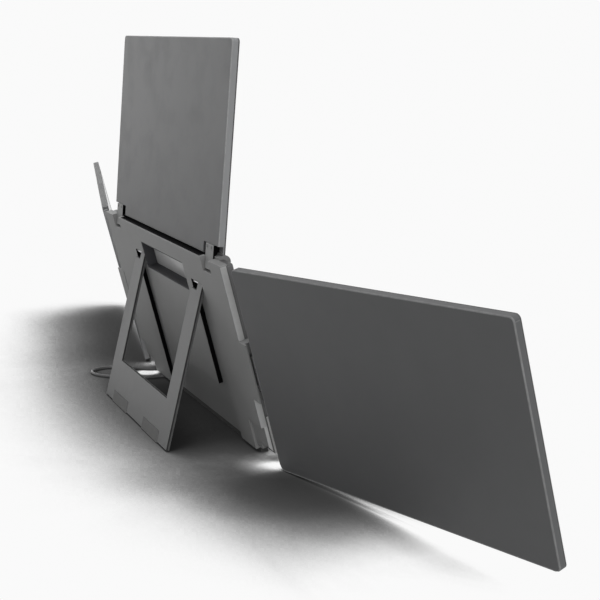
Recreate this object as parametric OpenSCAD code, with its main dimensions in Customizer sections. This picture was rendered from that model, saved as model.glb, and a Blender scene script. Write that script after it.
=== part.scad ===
// A folding screen extender: a back frame that stands behind a laptop on a kickstand and carries
// three portable displays, one on each side and one above.
// Millimetres, +Z up, the user sits towards -Y. The origin is on the desk under the middle of the
// frame's lower edge. Lengths on the frame are x (width), d (depth, forward from its back face)
// and s (height up along its back face).

/* [Screens] */
// Width of each display
screen_w = 325; // [300:1:330]
// Height of each display
screen_h = 190; // [180:1:192]
// Thickness of each display
screen_t = 7; // [6.5:0.1:8]
// Width of the border round the picture
bezel_w = 7.5; // [5:0.5:10]
// Radius of the corners of the displays
corner_r = 4; // [2:0.5:8]

/* [Frame] */
// Width of the back frame
frame_w = 367; // [360:1:380]
// Height of the back frame
frame_h = 186; // [184:1:190]
// Depth of the rear shell
shell_d = 7; // [6.6:0.1:8]
// Depth of the whole frame, rear shell and front frame
body_d = 12.5; // [12:0.1:13]
// Thickness of the shell's walls
wall = 1.6; // [1.2:0.1:2]
// How far the frame leans back from upright
lean = 14.1; // [10:0.1:18]
// Height of the frame's lower edge over the desk
lift = 4.2; // [3.8:0.1:6]

/* [Handle] */
// Width of the grip opening
grip_w = 131; // [100:1:136]
// Height of the grip opening
grip_h = 26; // [22:1:28]
// Middle of the grip opening across the frame
grip_x = -4; // [-8:1:4]
// Lower edge of the grip opening above the frame's lower edge
grip_s = 142.5; // [140:0.5:144]

/* [Kickstand] */
// Width of the kickstand
kick_w = 206; // [190:1:212]
// Width of the window between its arms
window_w = 151; // [150:1:160]
// Height of the bar below the window
bar_h = 43; // [35:1:43]
// Thickness of the kickstand
kick_t = 3.4; // [3.2:0.1:4]
// Angle between the kickstand and the frame
kick_open = 28.2; // [20:0.1:40]
// Middle of the kickstand across the frame
kick_x = -12; // [-14:1:0]
// Height of the kickstand's pins on the frame
kick_s = 154.2; // [152:0.1:156]

/* [Hinges] */
// How far the side displays are swung forward from the frame's plane
wing_open = 13.5; // [5:0.5:20]
// How far the top display leans forward from the frame's plane
top_open = 19; // [12:0.5:22]
// Gap between displays when they are folded on each other
fold_gap = 0.7; // [0.6:0.1:1.5]
// Distance of the side pins from the middle of the frame
side_pin_x = 193; // [192:0.5:194]
// Height of the top display's pins on the frame
top_pin_s = 182; // [181:0.5:183]

/* [Lead] */
// Diameter of the lead
lead_dia = 3.4; // [3:0.1:4]
// Turns in the stored coil
coil_turns = 5; // [4:1:7]

/* [Hidden] */
$fn = 48;

shell_grey = [0.34, 0.35, 0.35];
cover_grey = [0.30, 0.31, 0.31];
dark = [0.09, 0.09, 0.10];
rubber = [0.16, 0.16, 0.17];
steel = [0.62, 0.62, 0.64];
board_green = [0.05, 0.22, 0.13];
glass_black = [0.02, 0.02, 0.03];

gap = 0.3; // clearance between parts that move past each other
fit = 0.05; // radial clearance of a pin in its bore
half_w = frame_w / 2;
floor_d = 5.8; // depth of the inner face under the kickstand's recess
recess_d = 4.5; // depth of the kickstand's recess
front_inset = 1.2; // step from the shell's side to the front frame's side
front_top = frame_h - 1.4; // top of the front frame
foot_x = [-150, 78]; // span of the foot under the frame, beside the lead
foot_d = [4.7, 11.5]; // its depth, in front of the closed kickstand
// moves the middle of the foot to y = 0
seat_y = lift * tan(lean) + (foot_d[0] + foot_d[1]) / 2 / cos(lean);

// A display folds flat when its pin lies at this depth: it is solved from where the closed display
// starts, and from where its edge lies when it is open.
function pin_depth(closed_d, reach, edge_d, angle) =
  (closed_d + screen_t - reach * sin(angle) + edge_d * cos(angle)) / (1 + cos(angle));

// Top display: it closes first, just in front of the frame.
top_edge = [187.4, 6.6]; // height and depth of its lower back edge when it is open
top_closed = body_d + 0.5; // depth of its face when it is closed
top_reach = top_edge[0] - top_pin_s;
top_pin_d = pin_depth(top_closed, top_reach, top_edge[1], top_open);
top_g = top_reach * cos(top_open) + (top_edge[1] - top_pin_d) * sin(top_open);
top_b = -top_reach * sin(top_open) + (top_edge[1] - top_pin_d) * cos(top_open);
arm_x = [133, 153]; // span of each hinge arm from the middle
arm_proud = 0.85; // how far the arms stand out of the display's back
arm_t = 3.7; // thickness of the arms
arm_low = -9.6; // lower end of the arms from the pin
notch_x = 124.7; // inner end of the notches in the display's lower corners
notch_through = 6.6; // the notches go right through below this height over the pin
notch_top = 13.5; // top of the notches
hub_r = 6; // radius of the knuckles
hub_bore = 2; // radius of the top pins
mount_x = [notch_x + 2, 160.8]; // span of the top hinges' mounts from the middle
mount_s = 173; // lower end of the mounts
cut_s = 173.1; // lower end of the cuts that the arms swing through
bar_s = [178, front_top - 0.6]; // span of the dark bar along the frame's top
top_pin_x = [128.1, 159.4]; // span of each top pin from the middle

// Side displays: the right one closes over the top one, and the left one over both.
wing_edge = [204.2, 2]; // distance from the middle and depth of an open one's inner back edge
wing_low = -3.8; // height of their lower edges on the frame
right_closed = top_closed + screen_t + arm_proud + fold_gap / 2;
left_closed = right_closed + screen_t + fold_gap;
function pin_d(side) =
  pin_depth(side > 0 ? right_closed : left_closed, wing_edge[0] - side_pin_x, wing_edge[1], wing_open);
function wing_g(side) =
  (wing_edge[0] - side_pin_x) * cos(wing_open) + (wing_edge[1] - pin_d(side)) * sin(wing_open);
function wing_b(side) =
  -(wing_edge[0] - side_pin_x) * sin(wing_open) + (wing_edge[1] - pin_d(side)) * cos(wing_open);
side_s = [60, 116]; // span of the side hinges up the frame
cheek_h = 11; // height of each fixed cheek of a side hinge
side_hub_r = 4.4; // radius of the side hinges' knuckles
side_bore = 1.5; // radius of the side pins
bracket_x = [176.5, 199.5]; // span of a side bracket's cover from the middle
bracket_d = [-0.3, 1.3]; // depth of the cover, a little proud of the shell
leaf_w = 24; // how far a hinge leaf reaches into its display
leaf_t = 1.6; // thickness of the leaf

// Kickstand, measured from its pins.
kick_d = 2.2; // depth of the pins
pin_r = 1; // radius of the kickstand's pins
pad_lip = 1; // thickness of the pads under the kickstand
lug_cut = [15, 6.5]; // width and height of the corner cut from the top of each arm
pad_w = 50; // width of the pads
pad_h = 10.5; // height of the pads on the outer face
pad_x = [-50, 53]; // middles of the pads from the kickstand's middle
kick_pin_z = kick_s * cos(lean) + kick_d * sin(lean) + lift;
kick_tilt = kick_open - lean; // lean of the open kickstand from upright
kick_len = (kick_pin_z - kick_t / 2 * sin(kick_tilt)) / cos(kick_tilt) - pad_lip;
recess_x = [kick_x - kick_w / 2 - 1, kick_x + kick_w / 2 + 1];
island_x = [kick_x - window_w / 2 + 0.8, kick_x + window_w / 2 - 0.8];
island_s = 48.5; // lower end of the raised field between the arms
kick_pin_x = [[recess_x[0] - 3, island_x[0] + 2], [island_x[1] - 1, recess_x[1] + 3]];
liner_t = 1.2; // thickness of the liner in the grip opening
grip_plate_d = 11.1; // depth of the back face of the plate that closes it
recess_top = kick_s + 2.6;

// Corner hooks.
hook_x = [163.6, half_w]; // span of the hooks' shelves
hook_back_x = 152; // inner edge of the hooks' back plates
hook_recess_d = 2.6; // depth of the corner recesses in the shell's back
hook_d = [shell_d, 20.4]; // depth of the hooks from back plate to lip
hook_lip = 15; // top of the lips
hook_s = 31; // top of the corner recesses
hook_side_s = 40; // top of the hooks' side walls
hook_low = 3; // underside of the shelves
slope_s = 15; // the shell's lower outer corners slope up to this height at the back
slope = 1.57; // rise of the slope over its depth
hook_t = 2; // thickness of the hooks
hook_screws_x = 158; // screws that hold the hooks
hook_screws_s = [12, 25];

// Lead: its route over the desk, from the relief under the frame to the stored coil.
lead_r = lead_dia / 2;
coil_mid = 6 * lead_dia; // radius at the middle of the turns
coil_slack = 0.4; // room beside the turns
// the lower layer spirals inwards over the greater half of the turns
coil_half = (ceil(coil_turns / 2) + 1) * lead_r + coil_slack;
coil_h = 2 * lead_dia + 1.1; // two layers and the tie
coil_start = coil_mid + coil_half - coil_slack - lead_r; // radius of the outermost turn
coil_at = [128, -90];
relief_x = [90, 112]; // span of the relief's tapered sleeve
relief_at = [9.4, -3.1]; // depth and height on the frame at which the lead leaves
lead_start = [relief_x[1], seat_y + relief_at[1] * sin(lean) - relief_at[0] * cos(lean),
  lift + relief_at[1] * cos(lean) + relief_at[0] * sin(lean)];
lead_z = lead_r + 0.05; // height of the lead's middle where it lies on the desk
lead_end = [coil_at[0] + coil_start, coil_at[1], lead_z];
lead_route = [
  lead_start, lead_start + [6, 0.2, -0.3],
  [124, 1.8, 2.5], [129, 5, 1.95], [132, 10, lead_z], [133, 18, lead_z], [134, 29, lead_z],
  [139, 43, lead_z], [147, 55, lead_z], [156, 65, lead_z], [165, 73, lead_z], [174, 77, lead_z],
  [183, 76, lead_z], [190, 70, lead_z], [193.5, 61, lead_z], [192, 50, lead_z], [187, 39, lead_z],
  [180, 29, lead_z], [171.6, 19, lead_z], [167, 12, lead_z], [165.4, 5, lead_z],
  [165.4, -5, lead_z], [165.3, -15, lead_z], [164, -27, lead_z], [161.5, -40, lead_z],
  [159, -53, lead_z], [156.5, -66, lead_z], [154.3, -78, lead_z], lead_end
];
plug_at = [coil_at[0] - coil_mid, coil_at[1] - coil_start + lead_r / 2, 3.2]; // back of the plug

// Places on the frame: x, depth forward from the back face, and height.
module block(x, d, s)
  translate([x[0], -d[1], s[0]]) cube([x[1] - x[0], d[1] - d[0], s[1] - s[0]]);

module across(x, d, s, r)
  translate([x[0], -d, s]) rotate([0, 90, 0]) cylinder(h = x[1] - x[0], r = r);

module upright(x, d, s, r)
  translate([x, -d, s[0]]) cylinder(h = s[1] - s[0], r = r);

module forward(x, d, s, r)
  translate([x, -d[0], s]) rotate([90, 0, 0]) cylinder(h = d[1] - d[0], r = r);

// A plate with round corners, lying across the depth.
module plate(x, d, s, r)
  translate([0, -d[0], 0]) rotate([90, 0, 0]) linear_extrude(d[1] - d[0]) union() {
    translate([x[0] + r, s[0]]) square([x[1] - x[0] - 2 * r, s[1] - s[0]]);
    translate([x[0], s[0] + r]) square([x[1] - x[0], s[1] - s[0] - 2 * r]);
    for (u = [x[0] + r, x[1] - r], v = [s[0] + r, s[1] - r]) translate([u, v]) circle(r);
  }

module on_frame() translate([0, seat_y, lift]) rotate([-lean, 0, 0]) children();

module on_kickstand()
  on_frame() translate([kick_x, -kick_d, kick_s]) rotate([kick_open, 0, 0]) children();

module on_top()
  on_frame() translate([0, -top_pin_d, top_pin_s]) rotate([top_open, 0, 0]) children();

module on_side(side)
  on_frame() sided(side)
    translate([side_pin_x, -pin_d(side), 0]) rotate([0, 0, -wing_open]) children();

// A display's own place: x along its width from its inner edge, d from its back, s from its foot.
module on_side_screen(side)
  on_side(side) translate([wing_g(side), -wing_b(side), wing_low]) children();

module on_top_screen() on_top() translate([-screen_w / 2, -top_b, top_g]) children();

module sided(side) mirror([side < 0 ? 1 : 0, 0, 0]) children();

module pair() for (m = [0, 1]) mirror([m, 0, 0]) children();

// ---- Frame ----

body_screws_at = [for (x = [-172, -120, 112, 172], s = [56, 128]) [x, s]];

module grip(grow, d)
  plate([grip_x - grip_w / 2 - grow, grip_x + grip_w / 2 + grow], d,
    [grip_s - grow, grip_s + grip_h + grow], 1 + grow);

module top_corner_cuts()
  pair() block([arm_x[0] - gap * 2, arm_x[1] + gap * 2], [-1, body_d + 1], [cut_s, frame_h + 1]);

module rear_shell() color(shell_grey) on_frame() {
  difference() {
    plate([-half_w, half_w], [0, shell_d], [0, frame_h], 2.5);
    difference() {
      block([-half_w + wall, half_w - wall], [wall, shell_d + 1], [wall, frame_h - wall]);
      // the recess stands inside as a raised tray, and the corners and the grip are solid
      block([recess_x[0] - wall, recess_x[1] + wall], [0, floor_d], [0, recess_top + wall]);
      pair() block([hook_back_x - wall, half_w], [0, shell_d], [0, hook_s + wall]);
      pair() block([arm_x[0] - 6, arm_x[1] + 6], [0, shell_d], [170, frame_h]);
      grip(3.6, [0, shell_d]);
      for (p = body_screws_at) forward(p[0], [0, shell_d], p[1], 3);
      for (p = board_posts) forward(p[0], [0, board_d[0]], p[1], 2.5);
    }
    difference() {
      block(recess_x, [-1, recess_d], [-1, recess_top]);
      block(island_x, [-2, recess_d + 1], [island_s, recess_top + 1]);
    }
    // the raised field between the arms is hollow from inside
    block(island_x + [wall, -wall], [wall, shell_d], [island_s + wall, grip_s - 4]);
    for (x = kick_pin_x) across(x, kick_d, kick_s, pin_r);
    pair() block([hook_back_x, half_w + 1], [-1, hook_recess_d], [-1, hook_s]);
    pair() block([hook_back_x, half_w + 1], [0, shell_d + 1], [-1, hook_low]);
    pair() corner_slope();
    top_corner_cuts();
    block([-mount_x[0], mount_x[0]], [wall, shell_d + 1], [bar_s[0], frame_h + 1]);
    grip(liner_t, [-1, shell_d + 1]);
    for (p = body_screws_at) forward(p[0], [wall, shell_d + 1], p[1], 1.05);
    pair() for (s = hook_screws_s) forward(hook_screws_x, [hook_recess_d + 1, shell_d + 1], s, 1.05);
    for (side = [-1, 1]) bracket_seat(side);
  }
}

// What slopes away at the lower outer corners.
module corner_slope()
  translate([hook_x[0], 0, 0]) rotate([90, 0, 90]) linear_extrude(half_w)
    polygon([[1, slope_s + slope], [1, -1], [-shell_d - 1, -1],
      [-shell_d - 1, slope_s - slope * (shell_d + 1)]]);

// Space in the shell's edge for a side bracket.
module bracket_seat(side) sided(side)
  block([bracket_x[0], half_w + 1], [-1, body_d + 1], side_s);

module front_frame() color(dark) on_frame() {
  x = half_w - front_inset;
  difference() {
    plate([-x, x], [shell_d, body_d], [0.8, front_top], 2);
    difference() {
      block([-x + wall, x - wall], [shell_d - 1, body_d - wall], [0.8 + wall, front_top - wall]);
      grip(3.6, [shell_d, body_d]);
      pair() block([hook_back_x - 4, half_w], [shell_d, body_d], [0, hook_side_s + 3]);
      pair() block([122, 166], [shell_d, body_d], [168, frame_h]);
      for (p = body_screws_at) forward(p[0], [shell_d, body_d], p[1], 3);
    }
    pair() block([hook_back_x, half_w + 1], [shell_d - 1, body_d + 1], [-1, hook_side_s]);
    pair() block(mount_x, [shell_d - 1, body_d + 1], [mount_s, frame_h + 1]);
    block([-mount_x[0], mount_x[0]], [shell_d - 1, body_d - wall], [bar_s[0], frame_h + 1]);
    grip(liner_t, [shell_d - 1, body_d + 1]);
    for (p = body_screws_at) {
      forward(p[0], [shell_d - 1, body_d + 1], p[1], 1.1);
      forward(p[0], [body_d - 1.4, body_d + 1], p[1], 2);
    }
    for (side = [-1, 1]) bracket_seat(side);
  }
}

module handle_liner() color(dark) on_frame() difference() {
  grip(liner_t, [0.4, grip_plate_d]);
  grip(0, [-1, body_d + 2]);
  for (x = kick_pin_x) across(x, kick_d, kick_s, pin_r);
}

// The plate closes the grip opening at the front, so that it is a pocket for the fingertips.
module grip_plate() color(shell_grey) on_frame() grip(liner_t, [grip_plate_d, body_d - 0.1]);

module hinge_bar() color(dark) on_frame()
  block([-mount_x[0], mount_x[0]], [wall, body_d - wall], bar_s);

hub_board_x = [96, 146];
hub_board_s = [52, 124];
board_d = [wall + 1.2, wall + 2.4];
board_posts = [for (x = [100, 142], s = [66, 120]) [x, s]];

module hub_board() color(board_green) on_frame() difference() {
  block(hub_board_x, board_d, hub_board_s);
  forward(112, [wall, shell_d], 56, 3.4);
}

module hub_shield() color(steel) on_frame() {
  block([108, 134], [board_d[1], board_d[1] + 2], [86, 112]);
  block([122, 132], [board_d[1], board_d[1] + 1], [62, 72]);
}

module steel_stiffener() color(steel) on_frame() difference() {
  block([-104, 84], [floor_d, shell_d], [6, 134]);
  for (x = [-64, -10, 44]) forward(x, [0, body_d], 92, 18);
}

module corner_hook(side) color(shell_grey) on_frame() sided(side) {
  x = [hook_back_x, half_w - 0.2];
  shelf = [hook_x[0], x[1]];
  difference() {
    block(x, [hook_d[0], hook_d[0] + hook_t], [hook_low, hook_s - 0.2]);
    for (s = hook_screws_s) forward(hook_screws_x, [0, body_d], s, 1.1);
  }
  block([x[1] - hook_t, x[1]], [hook_d[0], 14.2], [hook_low, hook_side_s]);
  block(shelf, hook_d, [hook_low, hook_low + hook_t]);
  block(shelf, [hook_d[1] - hook_t, hook_d[1]], [hook_low + hook_t, hook_lip]);
}

module corner_hook_left() corner_hook(-1);
module corner_hook_right() corner_hook(1);

module hook_pads() color(rubber) on_frame() pair() {
  x = [hook_x[0] + 1, half_w - 3];
  block(x, [hook_d[0] + hook_t, hook_d[0] + hook_t + 0.8], [hook_low + hook_t + 0.8, 28]);
  block(x, [hook_d[0] + hook_t, hook_d[1] - hook_t], [hook_low + hook_t, hook_low + hook_t + 0.8]);
}

// The foot: a strip under the frame, cut flat where it meets the desk.
module base_feet() color(rubber) intersection() {
  on_frame() {
    block(foot_x, [foot_d[0], shell_d], [-8, 0]);
    block(foot_x, [shell_d, foot_d[1]], [-8, 0.8]);
  }
  translate([-half_w, -50, 0]) cube([frame_w, 100, 40]);
}

// A side bracket wraps the frame's edge and carries two cheeks that hold the pin.
module side_bracket(side) color(shell_grey) on_frame() sided(side) {
  d = pin_d(side);
  s = side_s;
  difference() {
    union() {
      block(bracket_x, bracket_d, s);
      block([bracket_x[0], half_w], [bracket_d[1], body_d - 0.6], s);
      for (z = [s[0], s[1] - cheek_h]) {
        block([half_w, side_pin_x + 1.2], [bracket_d[1], d], [z, z + cheek_h]);
        upright(side_pin_x, d, [z, z + cheek_h], side_hub_r);
      }
    }
    upright(side_pin_x, d, [s[0] + 2, s[1] - 2], side_bore + fit);
  }
}

module side_bracket_left() side_bracket(-1);
module side_bracket_right() side_bracket(1);

module side_hinge_pins() color(steel) on_frame()
  for (side = [-1, 1]) upright(side * side_pin_x, pin_d(side), side_s + [2, -2], side_bore);

module top_hinge_mounts() color(dark) on_frame() pair() difference() {
  union() for (x = [[mount_x[0], arm_x[0] - gap], [arm_x[1] + gap, mount_x[1]]]) {
    across(x, top_pin_d, top_pin_s, hub_r);
    block(x, [shell_d, top_pin_d], [mount_s, top_pin_s + hub_r - 0.1]);
  }
  block([notch_x, half_w], [0, shell_d], [170, 190]);
  across(top_pin_x, top_pin_d, top_pin_s, hub_bore + fit);
}

module top_hinge_pins() color(steel) on_frame()
  pair() across(top_pin_x, top_pin_d, top_pin_s, hub_bore);

module kickstand_pins() color(steel) on_frame()
  for (x = kick_pin_x) across(x, kick_d, kick_s, pin_r - fit);

module body_screws() color(steel) on_frame() {
  for (p = body_screws_at) screw(p, [wall + 0.6, body_d - 0.4]);
  pair() for (s = hook_screws_s)
    screw([hook_screws_x, s], [hook_recess_d + 1.4, hook_d[0] + hook_t + 1]);
}

// A small screw whose head faces forward.
module screw(p, d) {
  forward(p[0], [d[0], d[1] - 1], p[1], 1);
  forward(p[0], [d[1] - 1, d[1]], p[1], 1.9);
}

// ---- Kickstand ----

module kickstand() color(shell_grey) on_kickstand() difference() {
  union() {
    arm_w = (kick_w - window_w) / 2;
    block([-kick_w / 2, kick_w / 2], [-kick_t / 2, kick_t / 2], [-kick_len, -kick_len + bar_h]);
    for (x = [-kick_w / 2, kick_w / 2 - arm_w]) {
      block([x, x + arm_w], [-kick_t / 2, kick_t / 2], [-kick_len + bar_h, 0]);
      across([x, x + arm_w], 0, 0, kick_t / 2);
    }
  }
  across([-kick_w, kick_w], 0, 0, pin_r);
  // the top of each arm is cut back to a lug beside its outer or inner corner
  for (x = [-window_w / 2, kick_w / 2])
    block([x - lug_cut[0], x + 1], [-kick_t, kick_t], [-lug_cut[1], kick_t]);
  // seats for the pads, along the lower edge of the outer face
  for (x = pad_x) block([x - pad_w / 2, x + pad_w / 2], [-kick_t, -kick_t / 2 + 0.8],
    [-kick_len - 1, -kick_len + pad_h]);
}

module kickstand_pads() color(rubber) on_kickstand() for (x = pad_x) {
  block([x - pad_w / 2, x + pad_w / 2], [-kick_t / 2 - 0.2, -kick_t / 2 + 0.8],
    [-kick_len, -kick_len + pad_h]);
  block([x - pad_w / 2, x + pad_w / 2], [-kick_t / 2 - 0.2, kick_t / 2],
    [-kick_len - pad_lip, -kick_len]);
}

// ---- Displays, each in its own place: x from the inner edge, d from the back, s from the foot ----

bezel_t = 1.2;
panel_d = [3.4, screen_t - bezel_t]; // the display's backing

module screen_cover(chin)
  difference() {
    plate([0, screen_w], [0, screen_t - bezel_t], [0, screen_h], corner_r);
    block([wall, screen_w - wall], [wall, screen_t], [max(wall, chin), screen_h - wall]);
  }

module screen_bezel(chin) color(dark) difference() {
  plate([0, screen_w], [screen_t - bezel_t, screen_t], [0, screen_h], corner_r);
  block([bezel_w, screen_w - bezel_w], [0, screen_t + 1], [max(bezel_w, chin + 1), screen_h - bezel_w]);
}

// The display: its backing catches under the bezel's lip, and its glass fills the opening.
module screen_display(chin) color(glass_black) {
  low = max(bezel_w, chin + 1);
  lip = 1;
  block([bezel_w - lip, screen_w - bezel_w + lip], panel_d, [low - lip, screen_h - bezel_w + lip]);
  block([bezel_w, screen_w - bezel_w], [panel_d[1], screen_t - 0.2], [low, screen_h - bezel_w]);
}

// Driver board on the cover's inside, with a shield and ribbon plate.
module screen_board(x, s) color(board_green) {
  block([x, x + 118], [wall, wall + 1], [s, s + 46]);
  block([x + 14, x + 44], [wall + 1, wall + 1.6], [s + 10, s + 32]);
}

port_w = 9; // size of a port's mouth
port_t = 3.2;
port_len = 6; // how far it reaches in

// Ports let into the display's foot, with their mouths at the edge.
module ports(xs) for (x = xs) translate([x, -wall - port_t / 2, 0.2]) difference() {
  linear_extrude(port_len - 0.4) slot_outline(0.05);
  translate([0, 0, -1]) linear_extrude(port_len - 1) slot_outline(0.5);
}

// Outline of a port: a slot with round ends, inset from the hole that holds it.
module slot_outline(inset) {
  r = port_t / 2 - inset;
  w = port_w - port_t;
  square([w, 2 * r], center = true);
  for (x = [-w / 2, w / 2]) translate([x, 0]) circle(r);
}

module port_holes(xs) for (x = xs)
  translate([x, -wall - port_t / 2, -1]) linear_extrude(port_len + 1) slot_outline(0);

button_w = 12; // size of a button's cap
button_t = 2.4;

module button_hole(x)
  block([x - button_w / 2 - 0.2, x + button_w / 2 + 0.2], [2.0, 2.0 + button_t + 0.4], [-1, wall + 1]);

// A button: a cap that stands out of the edge, with a flange inside.
module button(x) {
  block([x - button_w / 2, x + button_w / 2], [2.2, 2.2 + button_t], [-0.6, wall + 0.9]);
  block([x - button_w / 2 - 1.2, x + button_w / 2 + 1.2], [1.8, 2.6 + button_t - 0.2],
    [wall + 0.1, wall + 0.9]);
}

side_ports = [150, 168];
side_button = 205;
chin_none = 0;
leaf_s = side_s + [cheek_h + gap, -cheek_h - gap] - [wing_low, wing_low];
leaf_screws = [[8, leaf_s[0] + 5], [8, leaf_s[1] - 5], [19, (leaf_s[0] + leaf_s[1]) / 2]];

module side_cover(side) color(cover_grey) on_side_screen(side) difference() {
  screen_cover(chin_none);
  block([-1, wall + 1], [wall, wall + leaf_t + 0.2], leaf_s + [-0.2, 0.2]);
  port_holes(side_ports);
  button_hole(side_button);
  for (p = leaf_screws) forward(p[0], [wall - 1, wall + 1], p[1], 1.05);
}

module side_board(side) on_side_screen(side) screen_board(150, 10);

module side_leaf(side) color(steel) {
  on_side_screen(side) difference() {
    block([-wing_g(side) + 4, leaf_w], [wall, wall + leaf_t], leaf_s);
    for (p = leaf_screws) {
      forward(p[0], [0, screen_t], p[1], 1.1);
      forward(p[0], [wall + leaf_t - 0.9, screen_t], p[1], 2);
    }
  }
  on_side(side) difference() {
    union() {
      upright(0, 0, leaf_s + [wing_low, wing_low], side_hub_r);
      block([2.6, wing_g(side) - 0.7], [wing_b(side) + wall, 0], leaf_s + [wing_low, wing_low]);
    }
    upright(0, 0, side_s, side_bore + fit);
  }
}

module side_screws(side) color(steel) on_side_screen(side) for (p = leaf_screws) {
  forward(p[0], [wall - 1, wall + leaf_t - 0.9], p[1], 1);
  forward(p[0], [wall + leaf_t - 0.9, wall + leaf_t], p[1], 1.9);
}

module left_cover() side_cover(-1);
module left_bezel() on_side_screen(-1) screen_bezel(chin_none);
module left_display() on_side_screen(-1) screen_display(chin_none);
module left_board() side_board(-1);
module left_ports() color(steel) on_side_screen(-1) ports(side_ports);
module left_leaf() side_leaf(-1);
module left_screws() side_screws(-1);
module left_button() color(dark) on_side_screen(-1) button(side_button);
module right_cover() side_cover(1);
module right_bezel() on_side_screen(1) screen_bezel(chin_none);
module right_display() on_side_screen(1) screen_display(chin_none);
module right_board() side_board(1);
module right_ports() color(steel) on_side_screen(1) ports(side_ports);
module right_leaf() side_leaf(1);
module right_screws() side_screws(1);
module right_button() color(dark) on_side_screen(1) button(side_button);

// ---- Top display: its ports and button are in its right edge ----

top_chin = 12; // solid part along its lower edge
top_ports_at = [70, 88];
top_button_at = 125;

module on_right_edge() translate([screen_w, 0, 0]) rotate([0, -90, 0]) children();

module top_notches() pair_on_screen() {
  block([-1, screen_w / 2 - notch_x], [-1, screen_t + 1], [-1, notch_through - top_g]);
  block([-1, screen_w / 2 - notch_x], [-1, screen_t - 2.1], [-1, notch_top - top_g]);
}

module pair_on_screen() for (m = [0, 1])
  translate([m * screen_w, 0, 0]) mirror([m, 0, 0]) children();

module top_cover() color(cover_grey) on_top_screen() difference() {
  screen_cover(top_chin);
  top_notches();
  on_right_edge() port_holes(top_ports_at);
  on_right_edge() button_hole(top_button_at);
  top_arm_screws(1.05, [screen_t - 3, screen_t - 1.2]);
}

// Places of the screws that hold the hinge arms, through the pocket's floor.
module top_arm_screws(r, d) pair_on_screen() for (x = [-5.5, 5.5])
  forward(screen_w / 2 - (arm_x[0] + arm_x[1]) / 2 + x, d, 7, r);

module top_bezel() on_top_screen() difference() {
  screen_bezel(top_chin);
  top_notches();
}

module top_display() on_top_screen() screen_display(top_chin);
module top_board() on_top_screen() screen_board(190, 60);
module top_ports() color(steel) on_top_screen() on_right_edge() ports(top_ports_at);
module top_button() color(dark) on_top_screen() on_right_edge() button(top_button_at);

module top_arms() color(shell_grey) on_top() pair() difference() {
  d = [top_b - arm_proud, top_b + screen_t - 2.1];
  union() {
    block(arm_x, [d[0], d[0] + arm_t], [arm_low, notch_top - 0.3]);
    block(arm_x, [d[0], d[1]], [notch_through + 0.3, notch_top - 0.3]);
    across(arm_x, 0, 0, hub_r);
  }
  across(arm_x + [-1, 1], 0, 0, hub_bore + fit);
  for (x = [-5.5, 5.5]) {
    forward((arm_x[0] + arm_x[1]) / 2 + x, [-20, 20], 7 + top_g, 1.1);
    forward((arm_x[0] + arm_x[1]) / 2 + x, [-20, d[0] + 1.2], 7 + top_g, 2);
  }
}

module top_screws() color(steel) on_top() pair() for (x = [-5.5, 5.5]) {
  d = [top_b - arm_proud, top_b + screen_t - 1.4];
  forward((arm_x[0] + arm_x[1]) / 2 + x, [d[0] + 1.2, d[1]], 7 + top_g, 1);
  forward((arm_x[0] + arm_x[1]) / 2 + x, [d[0] + 0.2, d[0] + 1.2], 7 + top_g, 1.9);
}

// ---- Lead ----

// The relief: a block under the frame's lower edge, and a tapered sleeve that the lead leaves sideways.
module lead_relief() color(rubber) on_frame() {
  block([relief_x[0] - 8, relief_x[0]], [shell_d, body_d - 0.3], [relief_at[1] - 2.7, 0.8]);
  translate([relief_x[0] - 1, -relief_at[0], relief_at[1]]) rotate([0, 90, 0])
    cylinder(h = relief_x[1] - relief_x[0] + 1, r1 = lead_r + 1.3, r2 = lead_r + 0.3);
}

// A tube swept along a route, with rings of equal sides held level.
function unit(v) = v / norm(v);
function heading(route, i) =
  unit(route[min(i + 1, len(route) - 1)] - route[max(i - 1, 0)]);
function ring(centre, along, r, sides) =
  let (side = unit(cross(along, [0, 0, 1])), up = cross(side, along))
  [for (k = [0:sides - 1]) centre + r * (cos(360 * k / sides) * side + sin(360 * k / sides) * up)];

// Points on a smooth curve through the route, the same number to each stretch.
function between(route, i, t) =
  let (n = len(route) - 1, a = route[max(i - 1, 0)], b = route[i], c = route[i + 1],
    e = route[min(i + 2, n)])
  0.5 * (2 * b + (c - a) * t + (2 * a - 5 * b + 4 * c - e) * t * t + (3 * b - a - 3 * c + e) * t * t * t);
function smooth(route, steps) =
  [for (i = [0:len(route) - 2], k = [0:steps - 1]) between(route, i, k / steps), route[len(route) - 1]];

module tube(route, r, sides) {
  n = len(route);
  points = [for (i = [0:n - 1]) each ring(route[i], heading(route, i), r, sides)];
  walls = [for (i = [0:n - 2], k = [0:sides - 1])
    [i * sides + k, i * sides + (k + 1) % sides, (i + 1) * sides + (k + 1) % sides, (i + 1) * sides + k]];
  ends = [[for (k = [sides - 1:-1:0]) k], [for (k = [0:sides - 1]) (n - 1) * sides + k]];
  polyhedron(points, concat(walls, ends));
}

module lead_tube() color(rubber) tube(smooth(lead_route, 2), lead_r, 8);

module lead_coil() color(rubber) translate([coil_at[0], coil_at[1], 0])
  rotate_extrude() translate([coil_mid - coil_half, 0]) square([2 * coil_half, coil_h]);

// The plug: its boot reaches back to the coil, and its shell points away from it.
module lead_plug() translate(plug_at) {
  color(rubber) {
    translate([-22, -6, -3.2]) cube([22, 12, 6.4]);
    translate([-1, 0, 0]) rotate([0, 90, 0]) cylinder(h = 9, r = 2.4);
  }
  color(steel) translate([-29, -4.2, -1.3]) cube([7, 8.4, 2.6]);
}

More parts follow.
